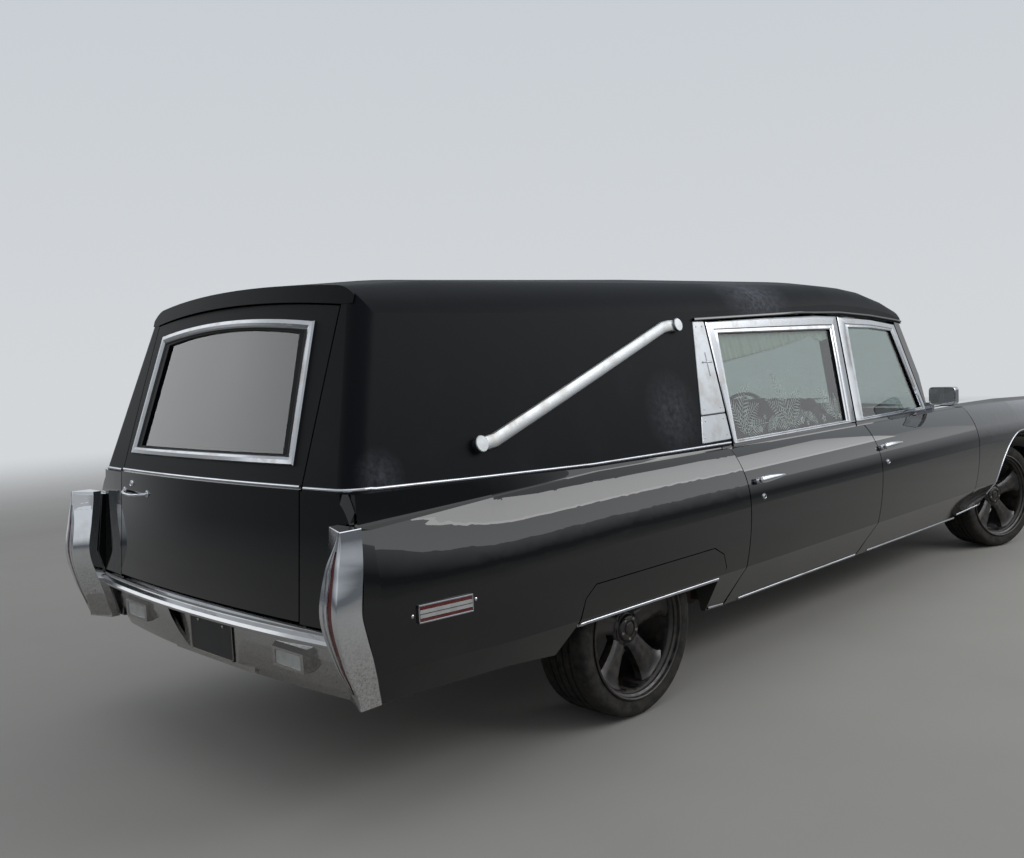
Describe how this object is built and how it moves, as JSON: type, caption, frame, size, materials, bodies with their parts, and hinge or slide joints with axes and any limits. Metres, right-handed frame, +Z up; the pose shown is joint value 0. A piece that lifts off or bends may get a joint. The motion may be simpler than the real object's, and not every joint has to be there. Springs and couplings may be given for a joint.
{
  "type": "funeral hearse car with landau bars and side and tail doors",
  "caption": "Long black funeral car with a high covered load body, landau bars, side doors, a side-hinged tail door, hood, steered front wheels and free rolling wheels.",
  "frame": {"origin": "on the ground, midway between the two bumpers and between the sides", "axes": "+X to the front, +Y to the car's left, +Z up"},
  "size_m": [6.4, 2.066, 1.792],
  "materials": {
    "black_paint": "gloss black enamel, dusty",
    "roof_paint": "satin black over a worn top",
    "chrome": "plated, scuffed",
    "window_glass": "clear with a light tint",
    "tyre": "dusty black rubber",
    "wheel_black": "black wheel paint",
    "frame_black": "chassis paint with road dust",
    "cast_iron": "rough casting",
    "lamp_glass": "clear pressed lens",
    "red_lens": "red moulded lens",
    "seat_vinyl": "black sewn vinyl",
    "deck_board": "varnished board",
    "dash_vinyl": "black moulded trim",
    "wheel_rim_plastic": "black moulded rim",
    "exhaust_steel": "aged steel"
  },
  "bodies": {
    "body": {"roof_shell": "roof_paint", "quarter_panels": "black_paint", "wheel_skirts": "black_paint", "tail_frame": "black_paint", "cowl": "black_paint", "windscreen": "window_glass", "centre_posts": "roof_paint", "floor_pan": "frame_black", "front_fenders": "black_paint", "front_panel": "black_paint", "headlamps": "lamp_glass", "grille": "chrome", "bumper_front": "chrome", "bumper_rear": "chrome", "tail_lamps": "red_lens", "reverse_lamps": "lamp_glass", "marker_lamps": "red_lens", "landau_bars": "chrome", "chassis_rails": "frame_black", "front_rails": "frame_black", "cross_members": "frame_black", "rear_axle": "frame_black", "driveshaft": "frame_black", "fuel_tank": "frame_black", "engine_block": "cast_iron", "front_crossmember": "frame_black", "bench_seat": "seat_vinyl", "casket_deck": "deck_board", "dashboard": "dash_vinyl", "steering_wheel": "wheel_rim_plastic", "exhaust": "exhaust_steel"},
    "hood": {"hood": "black_paint"},
    "tail_door": {"tail_door": "black_paint", "tail_glass": "window_glass"},
    "door_front_left": {"door_front_left": "black_paint", "glass_front_left": "window_glass", "mirror_left": "chrome"},
    "door_rear_left": {"door_rear_left": "black_paint", "glass_rear_left": "window_glass"},
    "knuckle_left": {"knuckle_left": "frame_black"},
    "wheel_front_left": {"rim_front_left": "wheel_black", "tyre_front_left": "tyre"},
    "wheel_rear_left": {"rim_rear_left": "wheel_black", "tyre_rear_left": "tyre"},
    "door_front_right": {"door_front_right": "black_paint", "glass_front_right": "window_glass", "mirror_right": "chrome"},
    "door_rear_right": {"door_rear_right": "black_paint", "glass_rear_right": "window_glass"},
    "knuckle_right": {"knuckle_right": "frame_black"},
    "wheel_front_right": {"rim_front_right": "wheel_black", "tyre_front_right": "tyre"},
    "wheel_rear_right": {"rim_rear_right": "wheel_black", "tyre_rear_right": "tyre"}
  },
  "joints": [
    {"name": "hood_lift", "type": "hinge", "parent": "body", "child": "hood", "pos_m": [1.471, 0, 1], "axis": [0, -1, 0], "range_deg": [0, 50]},
    {"name": "tail_door_swing", "type": "hinge", "parent": "body", "child": "tail_door", "pos_m": [-3.114, -0.644, 1.1], "axis": [0, 0, 1], "range_deg": [0, 100]},
    {"name": "door_front_left_swing", "type": "hinge", "parent": "body", "child": "door_front_left", "pos_m": [1.497, 0.99, 0.75], "axis": [0, 0, -1], "range_deg": [0, 65]},
    {"name": "door_rear_left_swing", "type": "hinge", "parent": "body", "child": "door_rear_left", "pos_m": [0.19, 0.99, 0.75], "axis": [0, 0, -1], "range_deg": [0, 65]},
    {"name": "door_front_right_swing", "type": "hinge", "parent": "body", "child": "door_front_right", "pos_m": [1.497, -0.99, 0.75], "axis": [0, 0, 1], "range_deg": [0, 65]},
    {"name": "door_rear_right_swing", "type": "hinge", "parent": "body", "child": "door_rear_right", "pos_m": [0.19, -0.99, 0.75], "axis": [0, 0, 1], "range_deg": [0, 65]},
    {"name": "steer_left", "type": "hinge", "parent": "body", "child": "knuckle_left", "pos_m": [2.25, 0.672, 0.342], "axis": [0, 0, 1], "range_deg": [-15.5, 48.5]},
    {"name": "spin_front_left", "type": "hinge", "parent": "knuckle_left", "child": "wheel_front_left", "pos_m": [2.27499, 0.75638, 0.342], "axis": [0.284, 0.9588, 0], "continuous": true},
    {"name": "spin_rear_left", "type": "hinge", "parent": "body", "child": "wheel_rear_left", "pos_m": [-1.75, 0.782, 0.342], "axis": [0, 1, 0], "continuous": true},
    {"name": "steer_right", "type": "hinge", "parent": "body", "child": "knuckle_right", "pos_m": [2.25, -0.672, 0.342], "axis": [0, 0, 1], "range_deg": [-15.5, 48.5]},
    {"name": "spin_front_right", "type": "hinge", "parent": "knuckle_right", "child": "wheel_front_right", "pos_m": [2.22501, -0.75638, 0.342], "axis": [0.284, 0.9588, 0], "continuous": true},
    {"name": "spin_rear_right", "type": "hinge", "parent": "body", "child": "wheel_rear_right", "pos_m": [-1.75, -0.782, 0.342], "axis": [0, 1, 0], "continuous": true}
  ],
  "couplings": [
    {"joint": "steer_right", "follows": "steer_left", "ratio": 1}
  ]
}
